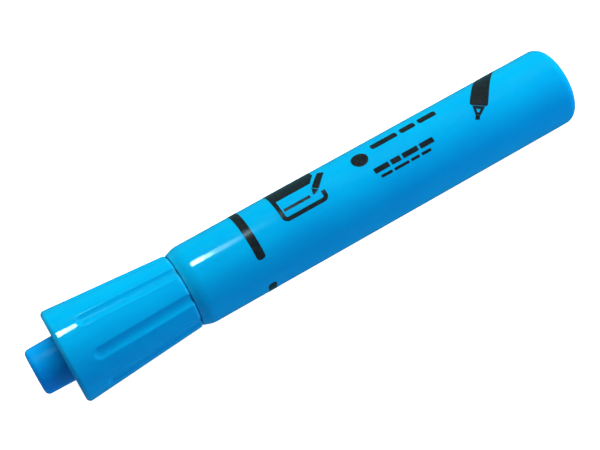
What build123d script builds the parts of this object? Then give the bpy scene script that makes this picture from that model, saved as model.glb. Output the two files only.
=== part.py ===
"""Capped desk highlighter: fluted flared cap with its liner, barrel, nib and ink store, lying along X.

+X runs from the cap to the rear end of the barrel and +Z is up. The origin is under the middle of the
pen, on the surface it lies on. All sizes are in millimetres.
"""

import os

from build123d import *

# Whole pen, along its axis
LENGTH = 122.2
NUB_LENGTH = 6.15            # closed end of the liner, standing out of the flared skirt
CAP_LENGTH = 26.7            # flared end to rim
RIM_GAP = 0.02               # seam between the cap's rim and the barrel

# Small roundings that most moulded pieces share
EDGE_ROUNDING = 0.25
CORNER_ROUNDING = 0.5        # inside corners, and where a nose or a neck ends

# Cap shell
FLARE_RADIUS = 9.99          # before its edge is rounded
RIM_RADIUS = 7.95
CAP_BORE_RADIUS = 6.7
RIM_ROUNDING = 0.7
FLARE_ROUNDING = 0.9
SKIRT_MOUTH_RADIUS = 8.65    # recess around the nub, at the flared end
SKIRT_ROOT_RADIUS = 7.4      # and at the web
WEB_DEPTH = 11.2             # flared end to the web
WEB_THICKNESS = 1.2

# Flutes pressed into the cap shell
FLUTE_COUNT = 8
FLUTE_FIRST_ANGLE = 35       # degrees about X, from straight up
FLUTE_START = 5.3            # flared end to the closed nose of a flute
FLUTE_CUTTER_RADIUS = 2.2
FLUTE_DEPTH = 0.45
FLUTE_EDGE_ROUNDING = 0.55
FLUTE_RUNOUT = 4.0           # how far the cutter passes the rim

# Liner of the cap, which seals the nib
NUB_TIP_RADIUS = 4.84
NUB_BASE_RADIUS = 4.96
NUB_ROUNDING = 1.0
LINER_RADIUS = 5.0
LINER_BORE_RADIUS = 3.95
LINER_END_WALL = 1.2
LINER_FLANGE_RADIUS = 6.4
LINER_FLANGE_THICKNESS = 1.0
LINER_BEAD_RADIUS = 5.3
LINER_CLEARANCE = 0.05       # to the web, so that the shell turns on the liner

# Barrel
BARREL_RADIUS = 8.5
BARREL_BORE_RADIUS = 7.05
BARREL_REAR_ROUNDING = 2.2
REAR_LIP_RADIUS = 6.2        # narrower bore at the rear, which grips the rear plug
REAR_LIP_LENGTH = 3.0
SHOULDER_LENGTH = 2.0
SHOULDER_FRONT_RADIUS = 7.8
SHOULDER_ROUNDING = 5.0
LAND_RADIUS = 6.8            # narrower bore at the front, which grips the nib holder
LAND_LENGTH = 9.0
RIB_COUNT = 6
RIB_WIDTH = 0.8
RIB_TIP_RADIUS = 6.7
RIB_END_GAP = 4.0            # from the land, and from the rear plug
RIB_ROOT = 0.3               # how far a rib reaches into the wall

# Nib holder
NECK_RADIUS = 6.45
NECK_LENGTH = 9.7
BEAD_RADIUS = 6.64           # snap bead, a running fit in the cap's bore
BEAD_WIDTH = 1.2
BEAD_SETBACK = 2.4           # barrel front to the bead
NOSE_RADIUS = 3.9
NOSE_LENGTH = 5.5
CONE_LENGTH = 3.2
NIB_GRIP_LENGTH = 9.0        # nose tip to the wide chamber
CHAMBER_RADIUS = 3.6
BACK_BORE_RADIUS = 5.4
BACK_BORE_LENGTH = 2.4
VENT_RADIUS = 0.45
VENT_RUNOUT = 0.5            # past both ends of the nib's grip

# Chisel nib
NIB_WIDTH = 5.0
NIB_THICKNESS = 3.4
NIB_REACH = 7.6              # nose tip to the longest point of the nib
NIB_SLANT = 3.0              # how much shorter the other edge of the chisel is
NIB_TAIL = 4.0               # length pushed into the reservoir
NIB_EDGE_THICKNESS = 1.1
NIB_BEVEL_LENGTH = 4.6
NIB_ROUNDING = 0.45

# Ink reservoir
CORE_RADIUS = 6.45
WRAP_THICKNESS = 0.15
WRAP_END_MARGIN = 0.6        # how much shorter the film is, at each end

# Rear plug
PLUG_LENGTH = 5.5
PLUG_BORE_RADIUS = 5.0
PLUG_END_WALL = 1.3
GATE_RADIUS = 2.4
GATE_DEPTH = 0.35

# Places along X that follow from the sizes above
REAR_X = LENGTH / 2
NUB_X = -LENGTH / 2
FLARE_X = NUB_X + NUB_LENGTH
RIM_X = FLARE_X + CAP_LENGTH
WEB_X = FLARE_X + WEB_DEPTH
FLANGE_X = WEB_X + WEB_THICKNESS
BARREL_FRONT_X = RIM_X + RIM_GAP
HOLDER_BACK_X = BARREL_FRONT_X + LAND_LENGTH
NECK_FRONT_X = BARREL_FRONT_X - NECK_LENGTH
NOSE_BASE_X = NECK_FRONT_X - CONE_LENGTH
NOSE_X = NOSE_BASE_X - NOSE_LENGTH
NIB_X = NOSE_X - NIB_REACH
PLUG_FRONT_X = REAR_X - PLUG_LENGTH


def turned(*corners):
    """Solid of revolution about X, from the (x, radius, rounding) corners of its half section."""
    points = [(x, radius) for x, radius, _ in corners]
    roundings = [rounding for _, _, rounding in corners]
    outline = FilletPolyline(*points, radius=roundings, close=True)
    return revolve(make_face(outline), axis=Axis.X)


def slab(outline, thickness):
    """Closed outline of (x, y, rounding) corners, given a thickness centred on its plane."""
    points = [(x, y) for x, y, _ in outline]
    roundings = [rounding for _, _, rounding in outline]
    face = make_face(FilletPolyline(*points, radius=roundings, close=True))
    return extrude(face, amount=thickness / 2, both=True)


def make_barrel():
    """Tube with a soft shoulder in front, a round rear end and ribs that centre the reservoir."""
    lip_front_x = REAR_X - REAR_LIP_LENGTH
    shell = turned(
        (REAR_X, REAR_LIP_RADIUS, 0),
        (REAR_X, BARREL_RADIUS, BARREL_REAR_ROUNDING),
        (BARREL_FRONT_X + SHOULDER_LENGTH, BARREL_RADIUS, SHOULDER_ROUNDING),
        (BARREL_FRONT_X, SHOULDER_FRONT_RADIUS, EDGE_ROUNDING),
        (BARREL_FRONT_X, LAND_RADIUS, 0),
        (HOLDER_BACK_X, LAND_RADIUS, 0),
        (HOLDER_BACK_X, BARREL_BORE_RADIUS, 0),
        (lip_front_x, BARREL_BORE_RADIUS, CORNER_ROUNDING),
        (lip_front_x, REAR_LIP_RADIUS, 0),
    )
    return shell + make_barrel_ribs()


def make_barrel_ribs():
    """Ribs along the inside of the barrel, from its wall to just clear of the reservoir."""
    front = HOLDER_BACK_X + RIB_END_GAP
    length = PLUG_FRONT_X - RIB_END_GAP - front
    height = BARREL_BORE_RADIUS + RIB_ROOT - RIB_TIP_RADIUS
    rib = Pos(front + length / 2, 0, RIB_TIP_RADIUS + height / 2) * Box(length, RIB_WIDTH, height)
    return [Rot(X=360 / RIB_COUNT * i) * rib for i in range(RIB_COUNT)]


def make_nib_holder(nib):
    """Front section: a plug held in the barrel, the neck for the cap, and the nose round the nib."""
    bead_back_x = BARREL_FRONT_X - BEAD_SETBACK
    bead_rise = BEAD_RADIUS - NECK_RADIUS
    body = turned(
        (HOLDER_BACK_X, BACK_BORE_RADIUS, 0),
        (HOLDER_BACK_X, LAND_RADIUS, EDGE_ROUNDING),
        (BARREL_FRONT_X, LAND_RADIUS, 0),
        (BARREL_FRONT_X, NECK_RADIUS, 0),
        (bead_back_x, NECK_RADIUS, 0),
        (bead_back_x - bead_rise, BEAD_RADIUS, 0),
        (bead_back_x - BEAD_WIDTH, BEAD_RADIUS, 0),
        (bead_back_x - BEAD_WIDTH - bead_rise, NECK_RADIUS, 0),
        (NECK_FRONT_X, NECK_RADIUS, CORNER_ROUNDING),
        (NOSE_BASE_X, NOSE_RADIUS, CORNER_ROUNDING),
        (NOSE_X, NOSE_RADIUS, CORNER_ROUNDING),
        (NOSE_X, 0, 0),
        (NOSE_X + NIB_GRIP_LENGTH, 0, 0),
        (NOSE_X + NIB_GRIP_LENGTH, CHAMBER_RADIUS, 0),
        (HOLDER_BACK_X - BACK_BORE_LENGTH, CHAMBER_RADIUS, 0),
        (HOLDER_BACK_X - BACK_BORE_LENGTH, BACK_BORE_RADIUS, 0),
    )
    return body - nib - make_air_vents()


def make_air_vents():
    """Two grooves beside the nib, which let air into the barrel as ink leaves it."""
    length = NIB_GRIP_LENGTH + 2 * VENT_RUNOUT
    middle_x = NOSE_X + NIB_GRIP_LENGTH / 2
    vent = Rot(Y=90) * Cylinder(VENT_RADIUS, length)
    return [Pos(middle_x, 0, side * NIB_THICKNESS / 2) * vent for side in (-1, 1)]


def make_chisel_nib():
    """Flat felt bar with a slanted, wedge-shaped writing edge, running back into the reservoir."""
    half_width = NIB_WIDTH / 2
    half_thickness = NIB_THICKNESS / 2
    half_edge = NIB_EDGE_THICKNESS / 2
    tail_x = HOLDER_BACK_X + NIB_TAIL
    plan = slab(
        [
            (tail_x, -half_width, 0),
            (tail_x, half_width, 0),
            (NIB_X, half_width, NIB_ROUNDING),
            (NIB_X + NIB_SLANT, -half_width, NIB_ROUNDING),
        ],
        NIB_THICKNESS,
    )
    wedge = slab(
        [
            (tail_x, -half_thickness, NIB_ROUNDING),
            (NIB_X + NIB_BEVEL_LENGTH, -half_thickness, NIB_ROUNDING),
            (NIB_X, -half_edge, NIB_ROUNDING),
            (NIB_X, half_edge, NIB_ROUNDING),
            (NIB_X + NIB_BEVEL_LENGTH, half_thickness, NIB_ROUNDING),
            (tail_x, half_thickness, NIB_ROUNDING),
        ],
        NIB_WIDTH,
    )
    return plan & (Rot(X=90) * wedge)


def make_reservoir_core(nib):
    """Bonded-fibre rod that holds the ink, with the nib's tail pushed into its front end."""
    rod = turned(
        (HOLDER_BACK_X, 0, 0),
        (HOLDER_BACK_X, CORE_RADIUS, EDGE_ROUNDING),
        (PLUG_FRONT_X, CORE_RADIUS, EDGE_ROUNDING),
        (PLUG_FRONT_X, 0, 0),
    )
    return rod - nib


def make_reservoir_wrap():
    """Film sleeve round the fibre rod, a little shorter than the rod."""
    front_x = HOLDER_BACK_X + WRAP_END_MARGIN
    back_x = PLUG_FRONT_X - WRAP_END_MARGIN
    return turned(
        (front_x, CORE_RADIUS, 0),
        (front_x, CORE_RADIUS + WRAP_THICKNESS, 0),
        (back_x, CORE_RADIUS + WRAP_THICKNESS, 0),
        (back_x, CORE_RADIUS, 0),
    )


def make_rear_plug():
    """Cup pressed into the lip of the barrel, flush with its end, with a shallow gate dimple."""
    return turned(
        (PLUG_FRONT_X, PLUG_BORE_RADIUS, 0),
        (PLUG_FRONT_X, REAR_LIP_RADIUS, EDGE_ROUNDING),
        (REAR_X, REAR_LIP_RADIUS, EDGE_ROUNDING),
        (REAR_X, GATE_RADIUS, 0),
        (REAR_X - GATE_DEPTH, GATE_RADIUS - GATE_DEPTH, 0),
        (REAR_X - GATE_DEPTH, 0, 0),
        (REAR_X - PLUG_END_WALL, 0, 0),
        (REAR_X - PLUG_END_WALL, PLUG_BORE_RADIUS, CORNER_ROUNDING),
    )


def make_cap_shell():
    """Flared cone, open at both ends, with a web across its middle and flutes along its outside."""
    hole_radius = LINER_RADIUS + LINER_CLEARANCE
    shell = turned(
        (RIM_X, CAP_BORE_RADIUS, EDGE_ROUNDING),
        (RIM_X, RIM_RADIUS, RIM_ROUNDING),
        (FLARE_X, FLARE_RADIUS, FLARE_ROUNDING),
        (FLARE_X, SKIRT_MOUTH_RADIUS, EDGE_ROUNDING),
        (WEB_X, SKIRT_ROOT_RADIUS, CORNER_ROUNDING),
        (WEB_X, hole_radius, 0),
        (WEB_X + WEB_THICKNESS, hole_radius, 0),
        (WEB_X + WEB_THICKNESS, CAP_BORE_RADIUS, 0),
    )
    fluted = shell - make_flute_cutters()
    return fillet(flute_edges(fluted), FLUTE_EDGE_ROUNDING)


def make_flute_cutters():
    """Round-nosed bars laid along the cone, one for each flute, that run out through the rim."""
    slope = (FLARE_RADIUS - RIM_RADIUS) / CAP_LENGTH
    rise = FLUTE_CUTTER_RADIUS - FLUTE_DEPTH
    nose_x = FLARE_X + FLUTE_START + cutter_nose_length()
    nose_z = FLARE_RADIUS - slope * (nose_x - FLARE_X) + rise
    tail_x = RIM_X + FLUTE_RUNOUT
    tail_z = FLARE_RADIUS - slope * (tail_x - FLARE_X) + rise
    path = Line((nose_x, 0, nose_z), (tail_x, 0, tail_z))
    bar = sweep(Plane(path @ 0, z_dir=path % 0) * Circle(FLUTE_CUTTER_RADIUS), path=path)
    cutter = bar + Pos(*(path @ 0)) * Sphere(FLUTE_CUTTER_RADIUS)
    step = 360 / FLUTE_COUNT
    return [Rot(X=FLUTE_FIRST_ANGLE + step * i) * cutter for i in range(FLUTE_COUNT)]


def cutter_nose_length():
    """Length of a flute's rounded nose, where the ball end of the cutter meets the cap."""
    rise = FLUTE_CUTTER_RADIUS - FLUTE_DEPTH
    return (FLUTE_CUTTER_RADIUS**2 - rise**2) ** 0.5


def flute_edges(shell):
    """Edges along which the flutes meet the outside of the cap, without the ends at the rim."""
    edges = ShapeList()
    for edge in shell.edges():
        middle = edge @ 0.5
        radius = (middle.Y**2 + middle.Z**2) ** 0.5
        outside = radius > RIM_RADIUS - FLUTE_DEPTH / 2
        round_the_axis = edge.geom_type == GeomType.CIRCLE
        if outside and not round_the_axis:
            edges.append(edge)
    return edges


def make_inner_cap():
    """Liner: a cup with a flange behind the web, a retaining bead, and the nub as its closed end."""
    bead_back_x = WEB_X - LINER_CLEARANCE
    bead_rise = LINER_BEAD_RADIUS - LINER_RADIUS
    flange_front_x = FLANGE_X + LINER_CLEARANCE
    flange_back_x = flange_front_x + LINER_FLANGE_THICKNESS
    return turned(
        (flange_back_x, LINER_BORE_RADIUS, EDGE_ROUNDING),
        (flange_back_x, LINER_FLANGE_RADIUS, EDGE_ROUNDING),
        (flange_front_x, LINER_FLANGE_RADIUS, EDGE_ROUNDING),
        (flange_front_x, LINER_RADIUS, 0),
        (bead_back_x, LINER_RADIUS, 0),
        (bead_back_x, LINER_BEAD_RADIUS, 0),
        (bead_back_x - 2 * bead_rise, LINER_RADIUS, 0),
        (FLARE_X, NUB_BASE_RADIUS, 0),
        (NUB_X, NUB_TIP_RADIUS, NUB_ROUNDING),
        (NUB_X, 0, 0),
        (NUB_X + LINER_END_WALL, 0, 0),
        (NUB_X + LINER_END_WALL, LINER_BORE_RADIUS, CORNER_ROUNDING),
    )


def save(parts):
    """Write one file for each piece, lifted so that the lowest of them touches the ground plane."""
    os.makedirs("parts", exist_ok=True)
    lift = -min(shape.bounding_box().min.Z for shape in parts.values())
    for name, shape in parts.items():
        export_step(Pos(0, 0, lift) * shape, f"parts/{name}.step")


nib = make_chisel_nib()
save(
    {
        "barrel": make_barrel(),
        "nib_holder": make_nib_holder(nib),
        "chisel_nib": nib,
        "reservoir_core": make_reservoir_core(nib),
        "reservoir_wrap": make_reservoir_wrap(),
        "rear_plug": make_rear_plug(),
        "cap_shell": make_cap_shell(),
        "inner_cap": make_inner_cap(),
    }
)
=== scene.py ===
import math

import bmesh
import bpy
from mathutils import Matrix, Vector


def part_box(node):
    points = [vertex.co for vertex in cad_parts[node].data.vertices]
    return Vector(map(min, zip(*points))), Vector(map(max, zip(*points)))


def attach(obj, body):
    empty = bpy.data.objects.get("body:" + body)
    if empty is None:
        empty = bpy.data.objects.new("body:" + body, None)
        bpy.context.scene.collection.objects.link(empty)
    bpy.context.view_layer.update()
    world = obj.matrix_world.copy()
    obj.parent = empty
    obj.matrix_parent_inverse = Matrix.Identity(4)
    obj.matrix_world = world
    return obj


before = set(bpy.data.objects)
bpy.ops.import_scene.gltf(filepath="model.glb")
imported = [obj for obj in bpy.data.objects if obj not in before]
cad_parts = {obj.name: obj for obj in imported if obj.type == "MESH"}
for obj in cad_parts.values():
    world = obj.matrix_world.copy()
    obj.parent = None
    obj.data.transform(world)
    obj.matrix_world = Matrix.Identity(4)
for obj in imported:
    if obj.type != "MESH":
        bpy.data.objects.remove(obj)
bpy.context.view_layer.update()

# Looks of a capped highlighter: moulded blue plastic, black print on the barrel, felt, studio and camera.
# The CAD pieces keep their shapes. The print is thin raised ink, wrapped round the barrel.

MM = 0.001

# ---------------------------------------------------------------- the pen, from the frame
BARREL_LOW, BARREL_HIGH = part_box("barrel")
CAP_LOW, CAP_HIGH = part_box("cap_shell")
BARREL_RADIUS = (BARREL_HIGH.y - BARREL_LOW.y) / 2
AXIS_HEIGHT = (BARREL_HIGH.z + BARREL_LOW.z) / 2
REAR_X = BARREL_HIGH.x
RIM_X = CAP_HIGH.x
FLARE_X = CAP_LOW.x

# ---------------------------------------------------------------- camera
VIEW_AZIMUTH = math.radians(-31.1)
VIEW_ELEVATION = math.radians(67.9)
VIEW_DISTANCE = 271.7 * MM
VIEW_AIM_X = -1.6 * MM
VIEW_LENS = 81
VIEW_SENSOR = 36
FRAMING_SHIFT = (0.0008, 0.0017)

# ---------------------------------------------------------------- studio
FLOOR_HALF_SIZE = 1.5
FRONT_REST = 1.2 * MM        # flared end to where the cap meets the floor
REAR_REST = 2.2 * MM         # rear end to where the barrel meets it
KEY_COLOUR = (1.0, 1.0, 0.62)
FILL_COLOUR = (0.83, 0.83, 1.0)
GLINT_COLOUR = (0.5, 0.85, 1.0)
WORLD_COLOUR = (0.12, 0.75, 0.95, 1)
WORLD_STRENGTH = 0.24
FLOOR_GLOW_COLOUR = (0.9, 0.85, 1.0, 1)
FLOOR_GLOW = 1.1             # makes the floor as white as backlit card

# ---------------------------------------------------------------- plastic
CYAN = (0.0, 0.22, 0.51)
DEEP_CYAN = (0.0, 0.195, 0.485)
LINER_BLUE = (0.0, 0.19, 0.61)
DEEP_LINER_BLUE = (0.0, 0.17, 0.58)
GLOSS = 0.07                 # roughness of the polished outside
PLUG_GLOSS = 0.16
LINER_GLOSS = 0.12
SCUFF_DULLING = 0.07         # roughness that scuffs add
WEAR_PALENESS = 0.12
WEAR_DULLING = 0.06
WEAR_WIDTH = 1 * MM
PLASTIC_IOR = 1.49
GLOW_THROUGH = 0.4           # share of the light that wanders inside the plastic
GLOW_DEPTH = 0.7 * MM
STAIN_LENGTH = 5 * MM        # how far ink creeps up the nib holder

# ---------------------------------------------------------------- print, in millimetres
# Places are along the pen, and round it as an arc from straight up towards -Y.
INK_HEIGHT = 0.02
INK_ROOT = 0.03
WRAP_STEP = 0.35             # the ink's faces are cut this narrow, to follow the barrel
HAIRLINE = 0.03              # bare plastic between two patches that look joined
RING_X = -12.8
RING_WIDTH = 1.85
RING_DASH_START = 33.5       # degrees round the pen at which a dash ends
RING_GAP = 43
RING_DASHES = 2
RING_CORNER = 0.7
SHEET_X = (-5.5, 4.9)
SHEET_ARC = (-12.5, 1.05)
SHEET_LINE = 0.9
SHEET_CORNER = 0.85          # at the middle of the line
SHEET_OPEN_ARC = -1.25       # where the line ends, beside the pen
HEADING_ARC = -4.3
HEADING_SLANT = ((3.3, -4.3), (4.9, -6.5))
RULED_LINE = ((-4.35, -1.75), (1.7, -1.1))
BAR_CORNER = 0.2
PEN_TIP = (2.5, -1.4)
PEN_LEAN = 42                # degrees from across the barrel
PEN_WIDTH = 1.5
PEN_LENGTH = 6.0
PEN_CORNER = 0.3
PEN_POINT_GAP = 0.15         # between the point and the shaft, and half of the point's blunt end
DOT_CENTRE = (14.3, -3.4)
DOT_RADIUS = 1.8
TITLE_ARC = (-5.7, -4.1)
TITLE_BARS = ((17.8, 23.9), (24.7, 28.2), (29.0, 33.2))
TITLE_CORNER = 0.5
CAPTION_ROWS = (              # start, arc, height, widths of the bars
    (15.3, 0.1, 1.15, (3.4, 2.2, 3.6, 3.2)),
    (16.0, 1.95, 0.6, (2.6, 3.4, 2.0, 2.2)),
)
CAPTION_GAP = 0.5
MARKER_TIP = (39.2, 1.65)
MARKER_LEAN = 38
MARKER_WIDTH = 3.7
MARKER_LENGTH = 16.0
MARKER_NOSE = 3.2            # tip and collar together
MARKER_CORNER = 0.5


def toward_camera():
    """Unit vector from the pen to the camera."""
    across = math.cos(VIEW_ELEVATION)
    return Vector((
        math.sin(VIEW_AZIMUTH) * across,
        -math.cos(VIEW_AZIMUTH) * across,
        math.sin(VIEW_ELEVATION),
    ))


def make_camera():
    data = bpy.data.cameras.new("camera")
    data.lens = VIEW_LENS
    data.sensor_width = VIEW_SENSOR
    data.shift_x, data.shift_y = FRAMING_SHIFT
    data.clip_start = 10 * MM
    camera = bpy.data.objects.new("camera", data)
    bpy.context.scene.collection.objects.link(camera)
    back = toward_camera()
    camera.location = Vector((VIEW_AIM_X, 0, AXIS_HEIGHT)) + back * VIEW_DISTANCE
    camera.rotation_mode = "QUATERNION"
    camera.rotation_quaternion = back.to_track_quat("Z", "Y")
    bpy.context.scene.camera = camera


# ---------------------------------------------------------------- lights, world and floor
def make_area_light(name, lean, turn, distance, size, power, colour, mirrored=False):
    """Rectangular light aimed at the pen: lean is towards +X and turn towards +Y, in degrees.

    Only a mirrored light shows in glossy surfaces. The others light the pen and leave no reflection.
    """
    data = bpy.data.lights.new(name, "AREA")
    data.shape = "RECTANGLE"
    data.size, data.size_y = size
    data.energy = power
    data.color = colour
    light = bpy.data.objects.new(name, data)
    bpy.context.scene.collection.objects.link(light)
    turned = Vector((0, math.sin(math.radians(turn)), math.cos(math.radians(turn))))
    direction = turned + Vector((math.tan(math.radians(lean)), 0, 0))
    direction.normalize()
    light.location = Vector((0, 0, AXIS_HEIGHT)) + direction * distance
    across = Vector((0, turned.z, -turned.y))
    along = across.cross(direction).normalized()
    light.rotation_mode = "QUATERNION"
    axes = Matrix((along, direction.cross(along), direction)).transposed()
    light.rotation_quaternion = axes.to_quaternion()
    light.visible_glossy = mirrored


def make_lights():
    make_area_light("key", 20, 42, 1.1, (1.4, 0.9), 37, KEY_COLOUR)
    make_area_light("fill", 48, -35, 1.2, (0.9, 0.9), 11.5, FILL_COLOUR)
    make_area_light("rear_fill", 58, -35, 0.22, (0.08, 0.08), 0.16, FILL_COLOUR)
    make_area_light("glint", 5, 33, 1.06, (0.026, 0.22), 1.5, GLINT_COLOUR, mirrored=True)


def make_world():
    world = bpy.data.worlds.new("studio")
    bpy.context.scene.world = world
    world.use_nodes = True
    background = world.node_tree.nodes["Background"]
    background.inputs["Color"].default_value = WORLD_COLOUR
    background.inputs["Strength"].default_value = WORLD_STRENGTH


def make_floor():
    """Pale plane, tipped a little so that the pen rests on it at the flared cap and the rear rim."""
    rest_front = FLARE_X + FRONT_REST
    rest_rear = REAR_X - REAR_REST
    tip = math.atan(BARREL_LOW.z / (rest_rear - rest_front))
    mesh = bpy.data.meshes.new("floor")
    half = FLOOR_HALF_SIZE
    corners = [(-half, -half, 0), (half, -half, 0), (half, half, 0), (-half, half, 0)]
    mesh.from_pydata(corners, [], [(0, 1, 2, 3)])
    floor = bpy.data.objects.new("floor", mesh)
    bpy.context.scene.collection.objects.link(floor)
    floor.location = (rest_front, 0, 0)
    floor.rotation_euler = (0, -tip, 0)
    material, tree, shader = new_material("floor_card")
    grain = add_noise(tree, 90, detail=3)
    tone = add_ramp(tree, grain, ((0.3, (0.28, 0.28, 0.28)), (0.7, (0.32, 0.32, 0.32))))
    tree.links.new(tone, shader.inputs["Base Color"])
    shader.inputs["Emission Color"].default_value = FLOOR_GLOW_COLOUR
    shader.inputs["Emission Strength"].default_value = FLOOR_GLOW
    shader.inputs["Roughness"].default_value = 0.7
    mesh.materials.append(material)
    floor.visible_glossy = False


# ---------------------------------------------------------------- shader building blocks
def new_material(name):
    material = bpy.data.materials.new(name)
    material.use_nodes = True
    tree = material.node_tree
    return material, tree, tree.nodes["Principled BSDF"]


def add_node(tree, kind, inputs=None, **settings):
    """New shader node. A value in inputs is either a number or colour, or a socket to link from."""
    node = tree.nodes.new(kind)
    for name, value in settings.items():
        setattr(node, name, value)
    for name, value in (inputs or {}).items():
        if isinstance(value, bpy.types.NodeSocket):
            tree.links.new(value, node.inputs[name])
        else:
            node.inputs[name].default_value = value
    return node


def add_place(tree, stretch=(1, 1, 1)):
    """Place in the pen's own frame, in metres, squeezed along each axis by stretch."""
    coordinates = add_node(tree, "ShaderNodeTexCoord")
    mapping = add_node(tree, "ShaderNodeMapping", {
        "Vector": coordinates.outputs["Object"],
        "Scale": stretch,
    })
    return mapping.outputs["Vector"]


def add_noise(tree, scale, stretch=(1, 1, 1), detail=2, roughness=0.5):
    noise = add_node(tree, "ShaderNodeTexNoise", {
        "Vector": add_place(tree, stretch),
        "Scale": scale,
        "Detail": detail,
        "Roughness": roughness,
    })
    return noise.outputs["Fac"]


def add_ramp(tree, factor, stops):
    """Colour ramp through (position, colour) stops."""
    node = add_node(tree, "ShaderNodeValToRGB", {"Fac": factor})
    elements = node.color_ramp.elements
    while len(elements) < len(stops):
        elements.new(0.5)
    for element, (position, colour) in zip(elements, stops):
        element.position = position
        element.color = (*colour, 1)
    return node.outputs["Color"]


def add_range(tree, value, low, high, to_low, to_high):
    node = add_node(tree, "ShaderNodeMapRange", {
        "Value": value,
        "From Min": low,
        "From Max": high,
        "To Min": to_low,
        "To Max": to_high,
    })
    return node.outputs["Result"]


def add_math(tree, operation, a, b):
    node = tree.nodes.new("ShaderNodeMath")
    node.operation = operation
    for socket, value in zip(node.inputs, (a, b)):
        if isinstance(value, bpy.types.NodeSocket):
            tree.links.new(value, socket)
        else:
            socket.default_value = value
    return node.outputs["Value"]


def add_blend(tree, a, b):
    """Sum of two noises, three parts of a to two of b."""
    return add_math(tree, "ADD", add_math(tree, "MULTIPLY", a, 0.6), add_math(tree, "MULTIPLY", b, 0.4))


def add_mix(tree, factor, a, b):
    """Mix of two colours, each a colour or a socket."""
    node = tree.nodes.new("ShaderNodeMix")
    node.data_type = "RGBA"
    sockets = (node.inputs["Factor"], node.inputs[6], node.inputs[7])
    for socket, value in zip(sockets, (factor, a, b)):
        if isinstance(value, bpy.types.NodeSocket):
            tree.links.new(value, socket)
        else:
            socket.default_value = value
    return node.outputs[2]


def add_bump(tree, height, distance, normal=None):
    inputs = {"Height": height, "Distance": distance, "Strength": 1.0}
    if normal:
        inputs["Normal"] = normal
    return add_node(tree, "ShaderNodeBump", inputs).outputs["Normal"]


# ---------------------------------------------------------------- materials
def make_moulded_plastic(name, light, deep, gloss, worn_edges=()):
    """Glossy injection-moulded plastic: flow streaks, faint peel, fine scuffs, edges rubbed paler.

    worn_edges are places along X, in metres, where handling has dulled the plastic.
    """
    material, tree, shader = new_material(name)
    clouds = add_noise(tree, 70, detail=2)
    streaks = add_noise(tree, 60, stretch=(0.25, 5, 5), detail=3)
    flow = add_blend(tree, clouds, streaks)
    colour = add_ramp(tree, flow, ((0.35, deep), (0.65, light)))

    scuffs = add_noise(tree, 900, stretch=(0.35, 1, 1), detail=4, roughness=0.7)
    dulled = add_range(tree, scuffs, 0.45, 0.75, gloss, gloss + SCUFF_DULLING)
    if worn_edges:
        worn = add_wear(tree, worn_edges, scuffs)
        pale = tuple(0.1 + 0.9 * channel for channel in light)
        colour = add_mix(tree, add_math(tree, "MULTIPLY", worn, WEAR_PALENESS), colour, (*pale, 1))
        dulled = add_math(tree, "ADD", dulled, add_math(tree, "MULTIPLY", worn, WEAR_DULLING))
    tree.links.new(colour, shader.inputs["Base Color"])
    tree.links.new(dulled, shader.inputs["Roughness"])

    peel = add_noise(tree, 1400, detail=1)
    scratches = add_noise(tree, 2600, stretch=(0.08, 1, 1), detail=2)
    rough_surface = add_bump(tree, peel, 3e-6)
    tree.links.new(add_bump(tree, scratches, 1.2e-6, rough_surface), shader.inputs["Normal"])

    shader.inputs["IOR"].default_value = PLASTIC_IOR
    shader.inputs["Subsurface Weight"].default_value = GLOW_THROUGH
    shader.inputs["Subsurface Radius"].default_value = (1, 1, 1)
    shader.inputs["Subsurface Scale"].default_value = GLOW_DEPTH
    return material


def add_wear(tree, edges, breakup):
    """How worn the plastic is: 1 at a place along X in edges, fading over a millimetre, broken up."""
    place = add_node(tree, "ShaderNodeSeparateXYZ", {"Vector": add_place(tree)}).outputs["X"]
    nearest = None
    for edge in edges:
        offset = add_math(tree, "ABSOLUTE", add_math(tree, "SUBTRACT", place, edge), 0)
        nearest = add_math(tree, "MINIMUM", nearest, offset) if nearest else offset
    near = add_range(tree, nearest, 0, WEAR_WIDTH, 1, 0)
    return add_math(tree, "MULTIPLY", near, add_range(tree, breakup, 0.4, 0.6, 0, 1))


def make_ink():
    """Black pad print with a gloss of its own, a little uneven where the film is thin."""
    material, tree, shader = new_material("print_ink")
    film = add_noise(tree, 1500, detail=3)
    tone = add_ramp(tree, film, ((0.3, (0.003, 0.003, 0.005)), (0.75, (0.010, 0.010, 0.014))))
    tree.links.new(tone, shader.inputs["Base Color"])
    tree.links.new(add_range(tree, film, 0.3, 0.7, 0.14, 0.22), shader.inputs["Roughness"])
    tree.links.new(add_bump(tree, film, 2e-6), shader.inputs["Normal"])
    return material


def make_felt(name, wet, dry, fibre_scale):
    """Bonded fibres that run along the pen, soaked with ink."""
    material, tree, shader = new_material(name)
    fibres = add_noise(tree, fibre_scale, stretch=(0.06, 1, 1), detail=4, roughness=0.65)
    blotches = add_noise(tree, 350, detail=3)
    soaked = add_blend(tree, fibres, blotches)
    tree.links.new(add_ramp(tree, soaked, ((0.35, wet), (0.65, dry))), shader.inputs["Base Color"])
    tree.links.new(add_bump(tree, fibres, 6e-5), shader.inputs["Normal"])
    shader.inputs["Roughness"].default_value = 0.85
    shader.inputs["Sheen Weight"].default_value = 0.3
    return material


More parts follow.
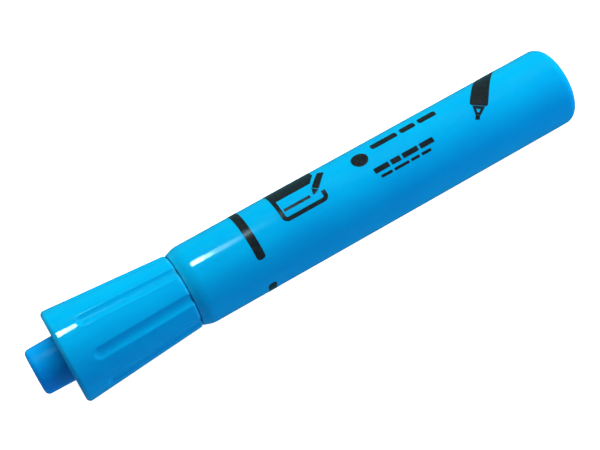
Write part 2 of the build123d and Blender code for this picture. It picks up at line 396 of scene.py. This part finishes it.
def make_white_plastic():
    """Satin white plastic of the nib holder, faintly stained with ink near the nib."""
    material, tree, shader = new_material("holder_plastic")
    nose_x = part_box("nib_holder")[0].x
    place = add_node(tree, "ShaderNodeSeparateXYZ", {"Vector": add_place(tree)}).outputs["X"]
    patches = add_noise(tree, 500, detail=3)
    near_nib = add_range(tree, place, nose_x, nose_x + STAIN_LENGTH, 1, 0)
    stain = add_math(tree, "MULTIPLY", near_nib, add_range(tree, patches, 0.35, 0.7, 0, 0.8))
    clean = add_ramp(tree, patches, ((0.3, (0.56, 0.58, 0.6)), (0.7, (0.62, 0.63, 0.64))))
    tree.links.new(add_mix(tree, stain, clean, (0.05, 0.45, 0.75, 1)), shader.inputs["Base Color"])
    tree.links.new(add_range(tree, patches, 0.3, 0.7, 0.38, 0.5), shader.inputs["Roughness"])
    tree.links.new(add_bump(tree, add_noise(tree, 1800, detail=2), 4e-6), shader.inputs["Normal"])
    return material


def make_film():
    """Clear sleeve round the reservoir, showing the ink-soaked fibre as a pale blue."""
    material, tree, shader = new_material("reservoir_film")
    creases = add_noise(tree, 160, stretch=(0.3, 1, 1), detail=3)
    tone = add_ramp(tree, creases, ((0.3, (0.45, 0.7, 0.82)), (0.7, (0.7, 0.85, 0.9))))
    tree.links.new(tone, shader.inputs["Base Color"])
    tree.links.new(add_bump(tree, creases, 5e-5), shader.inputs["Normal"])
    shader.inputs["Roughness"].default_value = 0.18
    return material


def dress(node, material):
    """Gives a CAD node its finish."""
    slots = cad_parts[node].data.materials
    slots.clear()
    slots.append(material)


def dress_nodes():
    barrel_edges = (BARREL_LOW.x, REAR_X)
    cap_edges = (FLARE_X, RIM_X)
    dress("barrel", make_moulded_plastic("barrel_plastic", CYAN, DEEP_CYAN, GLOSS, barrel_edges))
    dress("rear_plug", make_moulded_plastic("plug_plastic", CYAN, DEEP_CYAN, PLUG_GLOSS))
    dress("cap_shell", make_moulded_plastic("cap_plastic", CYAN, DEEP_CYAN, GLOSS, cap_edges))
    dress("inner_cap", make_moulded_plastic("liner_plastic", LINER_BLUE, DEEP_LINER_BLUE, LINER_GLOSS))
    dress("nib_holder", make_white_plastic())
    dress("chisel_nib", make_felt("nib_felt", (0.0, 0.16, 0.5), (0.02, 0.36, 0.72), 5000))
    dress("reservoir_core", make_felt("reservoir_fibre", (0.02, 0.3, 0.6), (0.1, 0.5, 0.75), 3500))
    dress("reservoir_wrap", make_film())


# ---------------------------------------------------------------- printed marks
def rounded_box(low, high, radius):
    """Outline of a box with round corners, as points in the flat of the print."""
    (x0, y0), (x1, y1) = low, high
    centres = ((x1 - radius, y0 + radius), (x1 - radius, y1 - radius),
               (x0 + radius, y1 - radius), (x0 + radius, y0 + radius))
    points = []
    for quarter, centre in enumerate(centres):
        start = 90 * quarter - 90
        points += arc_points(centre, radius, start, start + 90, steps=5)
    return points


def tapered(back_half, back, front_half, front):
    """Outline that narrows evenly from its back end to its front end."""
    return [(-back_half, back), (back_half, back), (front_half, front), (-front_half, front)]


def placed(points, tip, degrees):
    """Points drawn tip down at the origin, turned by degrees and moved to tip."""
    cos, sin = math.cos(math.radians(degrees)), math.sin(math.radians(degrees))
    return [(tip[0] + x * cos - y * sin, tip[1] + x * sin + y * cos) for x, y in points]


def add_patch(flat, outline):
    """One filled outline in the flat of the print."""
    flat.faces.new([flat.verts.new((x, y, 0)) for x, y in outline])


def add_frame(flat, outer, inner):
    """The band between two outlines with the same number of points."""
    out_ring = [flat.verts.new((x, y, 0)) for x, y in outer]
    in_ring = [flat.verts.new((x, y, 0)) for x, y in inner]
    count = len(outer)
    for i in range(count):
        j = (i + 1) % count
        flat.faces.new((out_ring[i], out_ring[j], in_ring[j], in_ring[i]))


def add_line(flat, path, width):
    """Line of even width along a path of points, in quads, with mitred corners."""
    pairs = []
    for i, point in enumerate(path):
        here = Vector(point)
        before = (here - Vector(path[i - 1])).normalized() if i else None
        after = (Vector(path[i + 1]) - here).normalized() if i + 1 < len(path) else None
        before = before or after
        after = after or before
        middle = (before + after).normalized()
        side = Vector((-middle.y, middle.x)) * (width / 2 / middle.dot(after))
        pairs.append([flat.verts.new((*(here + side * sign), 0)) for sign in (1, -1)])
    for (left, right), (next_left, next_right) in zip(pairs, pairs[1:]):
        flat.faces.new((left, next_left, next_right, right))


def arc_points(centre, radius, start, end, steps=8):
    """Points along an arc, from start to end in degrees."""
    points = []
    for step in range(steps + 1):
        angle = math.radians(start + (end - start) * step / steps)
        points.append((centre[0] + radius * math.cos(angle), centre[1] + radius * math.sin(angle)))
    return points


def cut_into_strips(flat):
    """Cuts the flat print along the pen, so that its faces can follow the barrel's curve."""
    arcs = [vertex.co.y for vertex in flat.verts]
    cut = min(arcs) + WRAP_STEP
    while cut < max(arcs):
        geometry = flat.verts[:] + flat.edges[:] + flat.faces[:]
        bmesh.ops.bisect_plane(flat, geom=geometry, dist=1e-5, plane_co=(0, cut, 0), plane_no=(0, 1, 0))
        cut += WRAP_STEP


def on_barrel(x, arc, lift):
    """Point lifted off the barrel, at x along the pen and arc round it, all in millimetres."""
    angle = arc * MM / BARREL_RADIUS
    radius = BARREL_RADIUS + lift * MM
    return Vector((x * MM, -radius * math.sin(angle), AXIS_HEIGHT + radius * math.cos(angle)))


def make_print(name, draw):
    """Piece of raised ink: draw fills a flat print, which is then cut, thickened and wrapped."""
    flat = bmesh.new()
    draw(flat)
    cut_into_strips(flat)
    bmesh.ops.triangulate(flat, faces=flat.faces[:])
    bmesh.ops.recalc_face_normals(flat, faces=flat.faces[:])
    top = flat.faces[:]
    for face in top:
        if face.normal.z < 0:
            face.normal_flip()
    grown = bmesh.ops.extrude_face_region(flat, geom=top, use_keep_orig=True)["geom"]
    raised = {element for element in grown if isinstance(element, bmesh.types.BMVert)}
    for vertex in flat.verts:
        lift = INK_HEIGHT if vertex in raised else -INK_ROOT
        vertex.co = on_barrel(vertex.co.x, vertex.co.y, lift)
    bmesh.ops.recalc_face_normals(flat, faces=flat.faces[:])
    mesh = bpy.data.meshes.new(name)
    flat.to_mesh(mesh)
    flat.free()
    mesh.materials.append(INK)
    piece = bpy.data.objects.new(name, mesh)
    bpy.context.scene.collection.objects.link(piece)
    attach(piece, "pen")


def draw_ring(flat):
    """Long dashes with round corners, in a ring round the barrel."""
    to_arc = math.radians(1) * BARREL_RADIUS / MM
    period = 360 / RING_DASHES
    for i in range(RING_DASHES):
        end = RING_DASH_START - period * i
        start = end - (period - RING_GAP)
        low = (RING_X - RING_WIDTH / 2, start * to_arc)
        high = (RING_X + RING_WIDTH / 2, end * to_arc)
        add_patch(flat, rounded_box(low, high, RING_CORNER))


def draw_note(flat):
    """Sheet of paper with a solid heading and a ruled line, and a pen across its open side."""
    (x0, x1), (y0, y1) = SHEET_X, SHEET_ARC
    half = SHEET_LINE / 2
    left, right, bottom = x0 + half, x1 - half, y1 - half
    corner_arc = bottom - SHEET_CORNER
    line = [(left, HEADING_ARC + HAIRLINE)]
    line += arc_points((left + SHEET_CORNER, corner_arc), SHEET_CORNER, 180, 90)
    line += arc_points((right - SHEET_CORNER, corner_arc), SHEET_CORNER, 90, 0)
    line.append((right, SHEET_OPEN_ARC))
    add_line(flat, line, SHEET_LINE)
    add_patch(flat, [(x0, y0), (x0, HEADING_ARC), *HEADING_SLANT, (x1, y0)])
    (low_x, low_arc), high = RULED_LINE
    add_patch(flat, rounded_box((low_x + HAIRLINE, low_arc), high, BAR_CORNER))
    half_pen = PEN_WIDTH / 2
    point_back = -PEN_WIDTH + PEN_POINT_GAP
    shaft = rounded_box((-half_pen, -PEN_LENGTH), (half_pen, -PEN_WIDTH), PEN_CORNER)
    point = tapered(half_pen, point_back, PEN_POINT_GAP, 0)
    for outline in (shaft, point):
        add_patch(flat, placed(outline, PEN_TIP, PEN_LEAN))


def draw_marks(flat):
    """Plain dot and bars in place of a name and two lines of words."""
    add_patch(flat, arc_points(DOT_CENTRE, DOT_RADIUS, 0, 350, steps=35))
    for start, end in TITLE_BARS:
        add_patch(flat, rounded_box((start, TITLE_ARC[0]), (end, TITLE_ARC[1]), TITLE_CORNER))
    for x, arc, height, widths in CAPTION_ROWS:
        for width in widths:
            add_patch(flat, rounded_box((x, arc), (x + width, arc + height), BAR_CORNER))
            x += width + CAPTION_GAP


def draw_marker(flat):
    """Small highlighter, tip down, lying aslant: body, open collar and chisel tip."""
    half = MARKER_WIDTH / 2
    tip = [(-0.45, -1.0), (0.45, -1.0), (0.45, -0.1), (-0.45, 0.1)]
    collar = tapered(1.3, -MARKER_NOSE + 0.1, 0.55, -1.05)
    opening = tapered(0.42, -2.4, 0.2, -1.6)
    body = rounded_box((-half, -MARKER_LENGTH), (half, -MARKER_NOSE), MARKER_CORNER)
    for outline in (tip, body):
        add_patch(flat, placed(outline, MARKER_TIP, MARKER_LEAN))
    add_frame(flat, placed(collar, MARKER_TIP, MARKER_LEAN), placed(opening, MARKER_TIP, MARKER_LEAN))


# ---------------------------------------------------------------- make everything
bpy.context.scene.view_settings.view_transform = "Standard"
make_camera()
make_lights()
make_world()
make_floor()
dress_nodes()
INK = make_ink()
make_print("print_ring", draw_ring)
make_print("print_note", draw_note)
make_print("print_marks", draw_marks)
make_print("print_marker", draw_marker)
